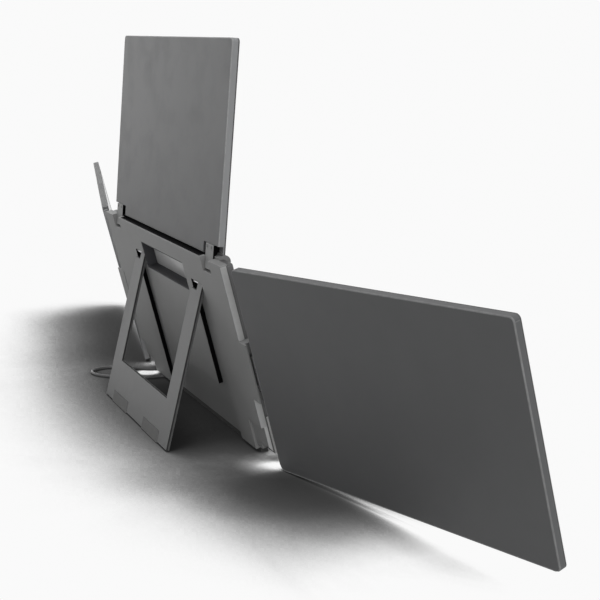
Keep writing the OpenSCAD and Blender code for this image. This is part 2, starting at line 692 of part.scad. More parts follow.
rear_shell();
front_frame();
handle_liner();
grip_plate();
hinge_bar();
hub_board();
hub_shield();
steel_stiffener();
corner_hook_left();
corner_hook_right();
hook_pads();
base_feet();
side_bracket_left();
side_bracket_right();
side_hinge_pins();
top_hinge_mounts();
top_hinge_pins();
kickstand_pins();
body_screws();
lead_relief();
lead_tube();
lead_coil();
lead_plug();
kickstand();
kickstand_pads();
top_cover();
top_bezel();
top_display();
top_board();
top_ports();
top_arms();
top_screws();
top_button();
left_cover();
left_bezel();
left_display();
left_board();
left_ports();
left_leaf();
left_screws();
left_button();
right_cover();
right_bezel();
right_display();
right_board();
right_ports();
right_leaf();
right_screws();
right_button();
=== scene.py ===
"""A folding screen extender: three portable displays on a back frame that stands on a kickstand."""

import math

import bmesh
import bpy
from mathutils import Matrix, Vector


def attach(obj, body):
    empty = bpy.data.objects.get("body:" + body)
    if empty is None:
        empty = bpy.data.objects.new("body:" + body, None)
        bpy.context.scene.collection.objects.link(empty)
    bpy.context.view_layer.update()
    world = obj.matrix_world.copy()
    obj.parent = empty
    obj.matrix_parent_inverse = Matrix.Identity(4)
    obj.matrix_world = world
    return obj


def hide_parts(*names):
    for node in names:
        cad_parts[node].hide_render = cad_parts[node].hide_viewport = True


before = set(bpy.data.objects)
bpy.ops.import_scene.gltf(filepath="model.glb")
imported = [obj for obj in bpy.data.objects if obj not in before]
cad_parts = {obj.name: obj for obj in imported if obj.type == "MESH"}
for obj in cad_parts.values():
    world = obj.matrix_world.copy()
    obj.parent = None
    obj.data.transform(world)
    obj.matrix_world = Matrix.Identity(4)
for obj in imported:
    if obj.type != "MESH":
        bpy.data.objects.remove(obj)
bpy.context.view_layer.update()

# ---- Sizes and places. Lengths are millimetres on the frame: x, depth forward, height up. ----

MM = 0.001
LEAN = math.radians(14.1)  # how far the frame leans back
LIFT = 4.2  # height of the frame's lower edge over the desk
FOOT_DEPTH = 8.1  # middle of the foot
SEAT_Y = LIFT * math.tan(LEAN) + FOOT_DEPTH / math.cos(LEAN)
WING_OPEN = math.radians(13.5)  # how far the side displays are swung forward
TOP_OPEN = math.radians(19)  # how far the upper display leans forward from the frame
KICK_OPEN = math.radians(28.2)  # angle between the kickstand and the frame
FRAME_W = 367
BODY_D = 12.5  # depth of the whole frame
WALL = 1.6
SCREEN_W, SCREEN_H, SCREEN_T = 325, 190, 7
CORNER_R = 4  # radius of the displays' corners
BEZEL_W = 7.5  # width of the border round the picture
TOP_BEZEL_LOW = 13  # and of the upper display's lower border
KICK_HINGE = (-12, 2.2, 154.2)
WING_CORNER = (204.2, 2, -3.8)  # lower inner back corner of a side display
TOP_CORNER = (-SCREEN_W / 2, 6.6, 187.4)  # lower back corner of the upper display
SIDES = {"left": -1, "right": 1}
PORT_T = 3.2  # height of a port's opening
SIDE_PORTS = (150, 168)  # places of the ports along a side display's lower edge
TOP_PORTS = (70, 88)  # and up the upper display's edge

SCENE = bpy.context.scene


def axes(origin, across, forward, up):
    """Matrix from millimetres (x, depth, height) of a part to metres in the row frame."""
    columns = Matrix((across, forward, up)).transposed().to_4x4()
    return Matrix.Translation(Vector(origin) * MM) @ columns @ Matrix.Scale(MM, 4)


FORWARD = Vector((0, -math.cos(LEAN), math.sin(LEAN)))
UP = Vector((0, math.sin(LEAN), math.cos(LEAN)))
ACROSS = Vector((1, 0, 0))
ON_FRAME = axes((0, SEAT_Y, LIFT), ACROSS, FORWARD, UP)


def frame_point(x, depth, height):
    """A point on the frame, in millimetres of the row frame."""
    return (ON_FRAME @ Vector((x, depth, height))) / MM


def wing_axes(side):
    """Axes of a side display, from its lower inner back corner: outwards, forward and up."""
    out = side * math.cos(WING_OPEN) * ACROSS + math.sin(WING_OPEN) * FORWARD
    forward = -side * math.sin(WING_OPEN) * ACROSS + math.cos(WING_OPEN) * FORWARD
    return axes(frame_point(side * WING_CORNER[0], *WING_CORNER[1:]), out, forward, UP)


def top_axes():
    """Axes of the upper display, from its lower back corner at the user's left."""
    up = math.cos(TOP_OPEN) * UP + math.sin(TOP_OPEN) * FORWARD
    forward = math.cos(TOP_OPEN) * FORWARD - math.sin(TOP_OPEN) * UP
    return axes(frame_point(*TOP_CORNER), ACROSS, forward, up)


def kick_axes():
    """Axes of the kickstand, from the middle of its hinge."""
    up = math.cos(KICK_OPEN) * UP + math.sin(KICK_OPEN) * FORWARD
    forward = math.cos(KICK_OPEN) * FORWARD - math.sin(KICK_OPEN) * UP
    return axes(frame_point(*KICK_HINGE), ACROSS, forward, up)


ON_SCREEN = {"top": top_axes(), **{side: wing_axes(way) for side, way in SIDES.items()}}
ON_KICK = kick_axes()
KICK_FORWARD = (ON_KICK.to_3x3() @ Vector((0, 1, 0))).normalized()


# ---- Camera ----

CAMERA_PLACE = (-1184.13, 412.56 + SEAT_Y, 384.27)
CAMERA_YAW = math.radians(66.1327)
CAMERA_PITCH = math.radians(12.1458)
CAMERA_LENS = 75.714
CAMERA_SENSOR = 36


def make_camera():
    data = bpy.data.cameras.new("camera")
    data.sensor_width = CAMERA_SENSOR
    data.lens = CAMERA_LENS
    data.clip_start, data.clip_end = 0.05, 60
    camera = bpy.data.objects.new("camera", data)
    SCENE.collection.objects.link(camera)
    camera.location = Vector(CAMERA_PLACE) * MM
    camera.rotation_euler = (math.pi / 2 - CAMERA_PITCH, 0, CAMERA_YAW - math.pi)
    SCENE.camera = camera


make_camera()
SCENE.view_settings.view_transform = "Standard"


# ---- Node trees ----

class Value:
    """A node's socket that Python's operators work on. Each operation adds its Math node."""

    def __init__(self, nodes, socket):
        self.nodes = nodes
        self.socket = socket

    def maths(self, operation, *values):
        return self.nodes.node("Math", {"operation": operation}, values)

    def __add__(self, other):
        return self.maths("ADD", self, other)

    def __radd__(self, other):
        return self.maths("ADD", other, self)

    def __sub__(self, other):
        return self.maths("SUBTRACT", self, other)

    def __rsub__(self, other):
        return self.maths("SUBTRACT", other, self)

    def __mul__(self, other):
        return self.maths("MULTIPLY", self, other)

    def __rmul__(self, other):
        return self.maths("MULTIPLY", other, self)

    def __lt__(self, other):
        return self.maths("LESS_THAN", self, other)

    def __gt__(self, other):
        return self.maths("GREATER_THAN", self, other)

    def fraction(self):
        return self.maths("FRACT", self)

    def size(self):
        return self.maths("ABSOLUTE", self)

    def larger(self, other):
        return self.maths("MAXIMUM", self, other)


class Nodes:
    """A node tree: node() adds a node, and feed() fills a socket with a value or a link."""

    def __init__(self, tree):
        self.tree = tree

    def feed(self, socket, value):
        if isinstance(value, list):
            for each in value:
                self.feed(socket, each)
        elif isinstance(value, Value):
            self.tree.links.new(value.socket, socket)
        elif socket.type == "RGBA" and len(value) == 3:
            socket.default_value = (*value, 1)
        else:
            socket.default_value = value

    def node(self, kind, settings=None, values=(), output=None, **sockets):
        """Adds a node, sets it, and fills its first sockets with values and others by their names.

        A kind without "Node" in it is a shader node, and names are written with underscores.
        """
        node = self.tree.nodes.new(kind if "Node" in kind else "ShaderNode" + kind)
        for key, value in (settings or {}).items():
            if key == "ramp":
                self.set_ramp(node.color_ramp, value)
            else:
                setattr(node, key, value)
        for socket, value in zip(node.inputs, values):
            self.feed(socket, value)
        for key, value in sockets.items():
            self.feed(next(s for s in node.inputs if s.enabled and s.name == key.replace("_", " ")), value)
        return Value(self, node.outputs[output] if output else next(s for s in node.outputs if s.enabled))

    def set_ramp(self, ramp, stops):
        while len(ramp.elements) < len(stops):
            ramp.elements.new(1)
        for element, (position, level) in zip(ramp.elements, stops):
            element.position = position
            element.color = (level, level, level, 1)


class Shading(Nodes):
    """The nodes of a material or of the world."""

    def point(self):
        return self.node("TexCoord", output="Object")

    def noise(self, scale, detail=3, roughness=0.5):
        return self.node("TexNoise", Scale=scale, Detail=detail, Roughness=roughness, Vector=self.point())

    def levels(self, value, low, high):
        """Spreads value from low..high to 0..1 and cuts what is past."""
        return self.node("MapRange", Value=value, From_Min=low, From_Max=high)

    def mix(self, factor, first, second):
        return self.node("Mix", {"data_type": "RGBA"}, Factor=factor, A=first, B=second)

    def near(self, place, inner, outer):
        """1 within inner metres of a place on the desk, falling to 0 at outer."""
        distance = self.node("VectorMath", {"operation": "DISTANCE"}, (self.point(), (*place, 0)))
        return self.levels(distance, outer, inner)

    def along(self, axis, vector=None):
        """The X, Y or Z of a vector, or else of the place."""
        return self.node("SeparateXYZ", output=axis, Vector=vector or self.point())

    def bump(self, height, strength, distance):
        return self.node("Bump", Height=height, Strength=strength, Distance=distance)

    def surface(self, shader):
        """Sends a shader to the tree's output."""
        output = next(node for node in self.tree.nodes if node.name.endswith(" Output"))
        self.feed(output.inputs["Surface"], shader)

    def seen(self):
        """1 for what is seen directly, in gloss or through glass, and 0 for light that it gives."""
        camera, gloss, glass = (self.node("LightPath", output=f"Is {kind} Ray")
                                for kind in ("Camera", "Glossy", "Transmission"))
        return camera.larger(gloss).larger(glass)


class Finish(Shading):
    """A material: shade() sets its surface."""

    def __init__(self, name):
        self.material = bpy.data.materials.new(name)
        self.material.use_nodes = True
        super().__init__(self.material.node_tree)
        self.shader = self.tree.nodes["Principled BSDF"]

    def shade(self, **sockets):
        for key, value in sockets.items():
            self.feed(self.shader.inputs[key.replace("_", " ")], value)
        return self.material


def tinted(colour, share):
    """A colour made darker or brighter."""
    return tuple(min(1, c * share) for c in colour)


# ---- Finishes ----

COVER_GREY = (0.0745, 0.0754, 0.0768)
# Painted highlight: the covers' rounded edges are painted about twice as light as their faces
EDGE_HIGHLIGHT_GREY = (0.156, 0.157, 0.158)
SHELL_GREY = (0.176, 0.177, 0.176)
STAND_GREY = (0.125, 0.126, 0.126)
FRONT_GREY = (0.068, 0.068, 0.069)
DARK_GREY = (0.014, 0.014, 0.015)
PLATE_GREY = (0.42, 0.42, 0.42)
PAD_GREY = (0.075, 0.075, 0.074)
LEAD_GREY = (0.075, 0.075, 0.076)
MATTE = 0.25  # specular level of the matt finishes
PANEL_COLUMNS = 3 * 1920  # coloured stripes across a picture


def blasted_metal(name, colour, roughness):
    """Bead-blasted and anodised sheet: fine grains, faint clouds, and duller where hands have been."""
    f = Finish(name)
    grain = f.noise(2600, 2, 0.6)
    cloud = f.levels(f.noise(9, 4, 0.55), 0.3, 0.7)
    smear = f.levels(f.noise(38, 5, 0.65), 0.45, 0.75)
    base = f.mix(cloud, tinted(colour, 0.95), tinted(colour, 1.05))
    base = f.mix(grain * 0.35, base, tinted(colour, 0.8))
    return f.shade(Base_Color=base, Specular_IOR_Level=MATTE, Normal=f.bump(grain, 0.12, 0.00004),
                   Roughness=roughness + smear * 0.06 + grain * 0.05)


def edge_metal(name, colour):
    """The rounded or cut edge of blasted sheet in the grey given, with rubbed patches a little brighter.

    The grey is painted light: a painted highlight, lighter than the faces, on the covers' edges,
    and painted shade, darker than the faces, on the kickstand's cut edges.
    """
    f = Finish(name)
    rub = f.levels(f.noise(150, 4, 0.6), 0.35, 0.7)
    return f.shade(Base_Color=f.mix(rub, colour, tinted(colour, 1.3)), Specular_IOR_Level=0.1,
                   Roughness=0.58 + rub * 0.1)


def moulded_plastic(name, colour, roughness, grain_size=1400, gloss=MATTE):
    """Spark-eroded moulding texture: round-bottomed pits, and a cloudy sheen."""
    f = Finish(name)
    pits = f.node("TexVoronoi", {"feature": "SMOOTH_F1"}, Vector=f.point(), Scale=grain_size)
    cloud = f.levels(f.noise(14, 4, 0.6), 0.3, 0.7)
    dust = f.levels(f.noise(90, 6, 0.7), 0.55, 0.8)
    base = f.mix(cloud, tinted(colour, 0.94), tinted(colour, 1.06))
    base = f.mix(dust * 0.25, base, tinted(colour, 1.18))
    return f.shade(Base_Color=base, Specular_IOR_Level=gloss,
                   Roughness=roughness + cloud * 0.05 + dust * 0.06,
                   Normal=f.bump(pits + f.noise(2400, 2) * 0.4, 0.18, 0.00005))


def rubber(name, colour):
    """Dull rubber with fine speckles, dusty in places."""
    f = Finish(name)
    speckle = f.noise(1800, 3, 0.6)
    dust = f.levels(f.noise(60, 6, 0.7), 0.5, 0.75)
    return f.shade(Base_Color=f.mix(dust, colour, tinted(colour, 1.35)), Roughness=0.78 + dust * 0.1,
                   Normal=f.bump(speckle, 0.25, 0.00008))


def turned_steel(name):
    """Plated steel with fine circular lines and faint stains."""
    f = Finish(name)
    lines = f.node("TexWave", {"wave_type": "RINGS", "rings_direction": "SPHERICAL"},
                   Vector=f.point(), Scale=900, Distortion=2.0, Detail=2.0)
    stain = f.levels(f.noise(70, 5, 0.6), 0.4, 0.7)
    return f.shade(Base_Color=f.mix(stain, (0.50, 0.50, 0.51), (0.38, 0.38, 0.39)), Metallic=1.0,
                   Roughness=0.26 + stain * 0.14, Normal=f.bump(lines, 0.08, 0.00002))


def panel_glass(name):
    """The display's front: black border glass round a picture area that is a shade lighter.

    The UV map runs from 0 to 1 over the picture area.
    """
    f = Finish(name)
    uv = f.node("UVMap", {"uv_map": "panel"})
    u, v = f.along("X", uv), f.along("Y", uv)
    inside = ((u - 0.5).size() < 0.5) * ((v - 0.5).size() < 0.5)
    columns = (u * PANEL_COLUMNS).fraction() * 0.15
    smudge = f.levels(f.noise(22, 5, 0.6), 0.45, 0.75)
    picture = f.mix(columns, (0.0070, 0.0074, 0.0088), (0.010, 0.0095, 0.0115))
    base = f.mix(inside, (0.0035, 0.0035, 0.0038), picture)
    return f.shade(Base_Color=base, Roughness=0.09 + inside * 0.09 + smudge * 0.05, Coat_Weight=0.35,
                   Coat_Roughness=0.05)


def circuit_board(name):
    """Green solder mask over tracks, with tinned pads."""
    f = Finish(name)
    tracks = f.node("TexBrick", Vector=f.point(), Scale=160.0, Mortar_Size=0.012, Color1=(0.006, 0.07, 0.035),
                    Color2=(0.008, 0.085, 0.045), Mortar=(0.02, 0.16, 0.09))
    pads = f.node("TexVoronoi", {"feature": "F1"}, Vector=f.point(), Scale=240.0) < 0.16
    return f.shade(Base_Color=f.mix(pads, tracks, (0.55, 0.53, 0.48)), Metallic=pads * 0.9,
                   Roughness=0.42 - pads * 0.12)


def lead_jacket(name):
    """The lead's jacket: satin, finely grained, and a little grimy in places."""
    f = Finish(name)
    cloud = f.levels(f.noise(55, 5, 0.6), 0.35, 0.7)
    fine = f.noise(900, 3, 0.6)
    return f.shade(Base_Color=f.mix(cloud, tinted(LEAD_GREY, 0.9), tinted(LEAD_GREY, 1.12)),
                   Roughness=0.46 + cloud * 0.12, Normal=f.bump(fine, 0.12, 0.00005))


def plated_contacts(name):
    """Gold-plated contacts with a worn patch where a plug has rubbed."""
    f = Finish(name)
    wear = f.levels(f.noise(700, 4, 0.6), 0.45, 0.7)
    return f.shade(Base_Color=f.mix(wear, (0.83, 0.60, 0.25), (0.62, 0.52, 0.36)), Metallic=1.0,
                   Roughness=0.2 + wear * 0.2)


FINISH = {
    "cover": blasted_metal("cover_anodised", COVER_GREY, 0.46),
    # Painted highlight on the displays' rounded edges, a brighter one on the upper display's
    "cover_edge": edge_metal("cover_edge", EDGE_HIGHLIGHT_GREY),
    "top_edge": edge_metal("top_cover_edge", tinted(EDGE_HIGHLIGHT_GREY, 1.5)),
    # Painted light on the outer sides: a highlight on the upper and left displays, shade on the right
    "top_side": blasted_metal("top_cover_side", tinted(COVER_GREY, 3.1), 0.5),
    "left_side": blasted_metal("left_cover_side", tinted(COVER_GREY, 1.25), 0.5),
    "right_side": blasted_metal("right_cover_side", tinted(COVER_GREY, 0.72), 0.5),
    # Painted highlight: the side displays' inner sides lie in shade by the frame and are painted pale
    "inner_side": blasted_metal("inner_cover_side", tinted(COVER_GREY, 4.2), 0.5),
    "shell": moulded_plastic("shell_plastic", SHELL_GREY, 0.5),
    # Painted highlight: the shell's and the hooks' outer sides are painted paler than the back
    "shell_side": moulded_plastic("shell_side_plastic", tinted(SHELL_GREY, 1.9), 0.6, gloss=0.1),
    "low_side": moulded_plastic("shell_low_side_plastic", tinted(SHELL_GREY, 2.5), 0.6, gloss=0.1),
    # Painted shade: the front strip of the shell's sides and the brackets' side faces are painted darker
    "bracket": moulded_plastic("bracket_plastic", tinted(SHELL_GREY, 0.6), 0.55, gloss=0.15),
    "front": moulded_plastic("front_plastic", FRONT_GREY, 0.48),
    # Painted highlight: the front frame's outer sides, in shade beside the side displays, are painted paler
    "front_side": moulded_plastic("front_side_plastic", tinted(FRONT_GREY, 2.0), 0.48),
    # Black plastic with its sheen taken away, painted shade for the crevice at the hinge bar and the hooks
    "bar": moulded_plastic("bar_plastic", tinted(DARK_GREY, 0.5), 0.85, gloss=0.02),
    # Painted shade: black for recess walls, notch ceilings, arms' and mounts' sides and pin pockets
    "painted_shade_black": moulded_plastic("channel_lining", tinted(DARK_GREY, 0.25), 0.88, gloss=0.0),
    "liner": moulded_plastic("liner_plastic", tinted(DARK_GREY, 3.0), 0.6, gloss=0.1),
    "plate": moulded_plastic("plate_plastic", PLATE_GREY, 0.22, gloss=0.5),
    "stand": blasted_metal("stand_anodised", STAND_GREY, 0.45),
    # Painted shade: the kickstand's cut edges are darker than its faces
    "stand_side": edge_metal("stand_side", tinted(STAND_GREY, 0.18)),
    "stand_edge": edge_metal("stand_edge", tinted(STAND_GREY, 0.5)),
    "pad": rubber("pad_rubber", PAD_GREY),
    "foot": rubber("foot_rubber", tinted(PAD_GREY, 0.4)),
    "steel": turned_steel("plated_steel"),
    "glass": panel_glass("panel_glass"),
    "board": circuit_board("circuit_board"),
    "lead": lead_jacket("lead_jacket"),
    "boot": rubber("boot_rubber", LEAD_GREY),
    "button": moulded_plastic("button_plastic", tinted(DARK_GREY, 1.6), 0.36, 2200),
    "contacts": plated_contacts("plated_contacts"),
    "tongue": moulded_plastic("tongue_plastic", tinted(DARK_GREY, 0.8), 0.5, 3000),
}


# ---- Making meshes ----

def link(name, mesh, *finishes):
    """An object at the origin with these finishes."""
    piece = bpy.data.objects.new(name, mesh)
    SCENE.collection.objects.link(piece)
    for finish in finishes:
        mesh.materials.append(FINISH[finish])
    return piece


def settle(piece):
    """Turns a piece's modifiers into plain mesh."""
    graph = bpy.context.evaluated_depsgraph_get()
    made = bpy.data.meshes.new_from_object(piece.evaluated_get(graph))
    piece.modifiers.clear()
    piece.data = made
    return piece


def soften(piece, angle=35):
    """Smooth shading, with creases kept sharp and large faces kept flat."""
    for face in piece.data.polygons:
        face.use_smooth = True
    piece.data.set_sharp_from_angle(angle=math.radians(angle))
    even = piece.modifiers.new("even_normals", "WEIGHTED_NORMAL")
    even.keep_sharp = True
    even.weight = 100
    return settle(piece)


def tell(piece, body, finish, *nodes):
    """Says which body a piece rides on and the CAD nodes that it stands for; the finish is not used."""
    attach(piece, body)
    if nodes:
        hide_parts(*nodes)
    return piece


def new_mesh(name, bm, matrix=None):
    """The mesh of bm, moved by a matrix, with its faces pointing outwards."""
    mesh = bpy.data.meshes.new(name)
    if matrix:
        bmesh.ops.transform(bm, matrix=matrix, verts=bm.verts)
    bmesh.ops.recalc_face_normals(bm, faces=bm.faces)
    bm.to_mesh(mesh)
    bm.free()
    return mesh


def round_edges(piece, width, weight=None, segments=2, edge_material=-1):
    """Rounds a piece's sharp edges. weight gives each edge's share of the width."""
    mesh = piece.data
    if weight:
        layer = mesh.attributes.new("bevel_weight_edge", "FLOAT", "EDGE")
        for edge in mesh.edges:
            ends = [mesh.vertices[v].co for v in edge.vertices]
            layer.data[edge.index].value = weight(*ends)
    bevel = piece.modifiers.new("rounding", "BEVEL")
    bevel.width = width * MM
    bevel.segments = segments
    bevel.limit_method = "WEIGHT" if weight else "ANGLE"
    bevel.angle_limit = math.radians(50)
    bevel.use_clamp_overlap = False
    bevel.miter_outer = "MITER_ARC"
    bevel.material = edge_material
    return settle(piece)


def dressed(node, name, body, finish, width, weight=None, others=(), segments=2, picked=None, splits=(),
            rim=-1):
    """A copy of a CAD node with its flat faces joined up and its edges rounded.

    picked gives the number of each face's finish among finish and others, and rim that of the rounded
    edges. Each split is a place and a direction: faces are cut in two there.
    """
    bm = bmesh.new()
    bm.from_mesh(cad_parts[node].data)
    bmesh.ops.remove_doubles(bm, verts=bm.verts, dist=2e-6)
    bmesh.ops.dissolve_limit(bm, angle_limit=math.radians(0.5), verts=bm.verts, edges=bm.edges)
    for place, direction in splits:
        bmesh.ops.bisect_plane(bm, geom=[*bm.verts, *bm.edges, *bm.faces], plane_co=place, plane_no=direction)
    if picked:
        bm.normal_update()
        for face in bm.faces:
            face.material_index = int(picked(face))  # a test counts as 0 or 1
    mesh = bpy.data.meshes.new(name)
    bm.to_mesh(mesh)
    bm.free()
    piece = link(name, mesh, finish, *others)
    round_edges(piece, width, weight, segments, rim)
    soften(piece)
    return tell(piece, body, finish, node)


# ---- The lead comes first ----

LEAD_DIA = 3.4
LEAD_R = LEAD_DIA / 2
LEAD_Z = LEAD_R + 0.05
COIL_AT = (128, -90)  # middle of the stored coil
COIL_MID = 6 * LEAD_DIA  # radius to the middle of its turns
COIL_START = COIL_MID + 1.5 * LEAD_DIA  # and to its outer turn
RELIEF_X = (90, 112)  # span of the relief's sleeve
RELIEF_DEPTH, RELIEF_HEIGHT = 9.4, -3.1
RELIEF_END = frame_point(RELIEF_X[1], RELIEF_DEPTH, RELIEF_HEIGHT)
# From the relief over the desk: a loop behind the frame's corner, then forward below the hook to the coil.
ROUTE = [
    RELIEF_END, RELIEF_END + Vector((6, 0.2, -0.3)),
    (124, 1.8, 2.5), (129, 5, 1.95), (132, 10, LEAD_Z), (133, 18, LEAD_Z), (134, 29, LEAD_Z),
    (139, 43, LEAD_Z), (147, 55, LEAD_Z), (156, 65, LEAD_Z), (165, 73, LEAD_Z), (174, 77, LEAD_Z),
    (183, 76, LEAD_Z), (190, 70, LEAD_Z), (193.5, 61, LEAD_Z), (192, 50, LEAD_Z), (187, 39, LEAD_Z),
    (180, 29, LEAD_Z), (171.6, 19, LEAD_Z), (167, 12, LEAD_Z), (165.4, 5, LEAD_Z),
    (165.4, -5, LEAD_Z), (165.3, -15, LEAD_Z), (164, -27, LEAD_Z), (161.5, -40, LEAD_Z),
    (159, -53, LEAD_Z), (156.5, -66, LEAD_Z), (154.3, -78, LEAD_Z),
]


def between(a, b, c, d, t):
    """A point on the smooth curve from b to c."""
    return 0.5 * (2 * b + (c - a) * t + (2 * a - 5 * b + 4 * c - d) * t * t
                  + (3 * b - a - 3 * c + d) * t ** 3)


def smooth_route(points, steps):
    """A smooth curve through the points, with so many steps from each to the next."""
    points = [Vector(p) for p in points]
    ends = [points[0], *points, points[-1]]
    made = [between(*ends[i:i + 4], k / steps) for i in range(len(points) - 1) for k in range(steps)]
    return made + [points[-1]]


def coil_turns():
    """Three turns inwards on the desk, then two outwards on top of them, wound clockwise."""
    points = []
    lower, upper, steps = 3, 2, 40
    pitch, lift = LEAD_DIA + 0.04, 0.5
    for i in range(lower * steps + 1):
        turn = i / steps
        points.append((COIL_START - pitch * turn, -turn, LEAD_Z + lift * min(1, turn * 4)))
    inner = COIL_START - pitch * lower
    for i in range(1, int((upper + 0.25) * steps) + 1):
        turn = i / steps
        radius = inner + pitch * min(1, turn * 2) * 0.9 + pitch * max(0, turn - 0.5)
        points.append((radius, -lower - turn, LEAD_Z + lift + (LEAD_DIA + 0.1) * min(1, turn * 4)))
    middle = Vector((*COIL_AT, 0))
    return [middle + Vector((r * math.cos(2 * math.pi * turn), r * math.sin(2 * math.pi * turn), z))
            for r, turn, z in points]


def make_lead():
    """The lead as one curve, and the place where it enters its plug."""
    turns = coil_turns()
    route = smooth_route([*ROUTE, turns[0]], 4)[:-1] + turns
    last = turns[-1]
    plug_back = Vector((COIL_AT[0] - COIL_MID + 1, COIL_AT[1] - COIL_START + LEAD_R / 2, 3.2))
    route += smooth_route([last, last + Vector((-6, (plug_back.y - last.y) / 2, -1)), plug_back], 3)[1:]
    curve = bpy.data.curves.new("lead", "CURVE")
    curve.dimensions = "3D"
    curve.bevel_depth = LEAD_R * MM
    curve.bevel_resolution = 3
    spline = curve.splines.new("POLY")
    spline.points.add(len(route) - 1)
    for target, place in zip(spline.points, route):
        target.co = (*(place * MM), 1)
    lead = bpy.data.objects.new("lead", curve)
    SCENE.collection.objects.link(lead)
    curve.materials.append(FINISH["lead"])
    tell(lead, "frame", "lead", "lead_tube", "lead_coil")
    return lead, plug_back


lead, PLUG_BACK = make_lead()


# ---- Plain solids of revolution and rounded blocks ----

def rounded_block(bm, low, high, radius, segments=3):
    """A box with all its edges rounded, added to bm as its last shape, to keep the order of its faces."""
    made = bmesh.ops.create_cube(bm, size=1)["verts"]
    size = [h - l for l, h in zip(low, high)]
    middle = [(l + h) / 2 for l, h in zip(low, high)]
    bmesh.ops.transform(bm, matrix=Matrix.LocRotScale(Vector(middle), None, Vector(size)), verts=made)
    edges = list(dict.fromkeys(edge for vert in made for edge in vert.link_edges))
    bmesh.ops.bevel(bm, geom=edges, offset=radius, segments=segments, profile=0.5, affect="EDGES")


def turned(bm, profile, start, along, steps=32):
    """A closed solid of revolution. The profile is (distance along, radius) from end to end."""
    along = Vector(along).normalized()
    side = along.orthogonal().normalized()
    other = along.cross(side)
    rings = []
    for distance, radius in profile:
        centre = Vector(start) + along * distance
        angles = [2 * math.pi * k / steps for k in range(steps)]
        rings.append([bm.verts.new(centre + radius * (math.cos(a) * side + math.sin(a) * other))
                      for a in angles])
    for first, second in zip(rings, rings[1:]):
        for k in range(steps):
            bm.faces.new((first[k], first[(k + 1) % steps], second[(k + 1) % steps], second[k]))
    bm.faces.new(rings[0])
    bm.faces.new(rings[-1][::-1])


def plug_pieces():
    """The plug: an overmould with a ringed boot, and its metal shell."""
    x, y, z = PLUG_BACK
    front = x - 23  # of the overmould
    bm = bmesh.new()
    boot = [(0, LEAD_R + 0.15)]
    for k in range(4):
        boot += [(0.6 + 1.5 * k, 2.0 + 0.1 * k), (1.5 + 1.5 * k, 2.4 + 0.1 * k)]
    turned(bm, [*boot, (9, 2.9)], (x + 7.5, y, z), (-1, 0, 0))
    rounded_block(bm, (front, y - 6, z - 3.15), (x - 1, y + 6, z + 3.2), 1.5, 4)
    mould = link("lead_plug_overmould", new_mesh("overmould", bm, Matrix.Scale(MM, 4)), "boot")
    soften(mould)
    bm = bmesh.new()
    width, height, length = 8.4, 2.6, 7  # of the metal shell
    rounded_block(bm, (front - length, y - width / 2, z - height / 2),
                  (front + 0.5, y + width / 2, z + height / 2), 0.5, 3)
    shell = link("lead_plug_shell", new_mesh("shell", bm, Matrix.Scale(MM, 4)), "steel")
    soften(shell)
    tell(mould, "frame", "boot", "lead_plug")
    tell(shell, "frame", "steel")
    return mould, shell


def coil_tie():
    """A strap round one side of the stored coil."""
    inner, outer, top, thick, width = 13.3, 27.6, 7.85, 0.35, 7
    gap = 0.02  # over the desk
    angle = math.radians(205)
    out = Vector((math.cos(angle), math.sin(angle), 0))
    along = Vector((-out.y, out.x, 0))
    middle = Vector((*COIL_AT, top / 2 + gap)) + out * (inner + outer) / 2
    quarters = ((1, 1, 0), (-1, 1, 90), (-1, -1, 180), (1, -1, 270))
    loops = []
    for grow in (0, -thick):
        half_w, half_h, r = (outer - inner) / 2 + grow, (top + gap) / 2 + grow, 2.2 + grow
        loops.append([(u * (half_w - r) + r * math.cos(math.radians(start + 15 * k)),
                       v * (half_h - r) + r * math.sin(math.radians(start + 15 * k)))
                      for u, v, start in quarters for k in range(7)])
    bm = bmesh.new()
    rings = [[bm.verts.new(middle + out * u + Vector((0, 0, v)) + along * w) for u, v in loop]
             for loop in loops for w in (-width / 2, width / 2)]
    count = len(rings[0])
    for first, second in ((0, 1), (2, 3), (0, 2), (1, 3)):
        for k in range(count):
            bm.faces.new((rings[first][k], rings[first][(k + 1) % count],
                          rings[second][(k + 1) % count], rings[second][k]))
    tie = link("lead_tie", new_mesh("tie", bm, Matrix.Scale(MM, 4)), "foot")
    soften(tie)
    return tell(tie, "frame", "boot")


PLUG = plug_pieces()
tuple(RELIEF_END * MM)
coil_tie()


def relief_piece():
    """The lead's relief: a block under the frame's edge, and a ringed sleeve that tapers to the lead."""
    bm = bmesh.new()
    profile = [(0, 2.95), (1.2, 2.95)]
    rings = 7
    for k in range(rings):
        radius = 2.9 - 0.85 * k / rings
        profile += [(1.8 + 2.6 * k, radius), (3.2 + 2.6 * k, radius), (3.5 + 2.6 * k, radius - 0.35),
                    (4.1 + 2.6 * k, radius - 0.35)]
    turned(bm, [*profile, (RELIEF_X[1] - RELIEF_X[0] + 1, LEAD_R + 0.22)],
           (RELIEF_X[0] - 1, RELIEF_DEPTH, RELIEF_HEIGHT), (1, 0, 0))
    rounded_block(bm, (RELIEF_X[0] - 8, 7.05, RELIEF_HEIGHT - 2.65), (RELIEF_X[0], BODY_D - 0.35, 0.75),
                  0.8, 3)
    piece = link("lead_relief_sleeve", new_mesh("relief", bm, ON_FRAME), "boot")
    soften(piece, 40)
    return tell(piece, "frame", "boot", "lead_relief")


relief_piece()


# ---- Small parts that repeat, grown by Geometry Nodes ----

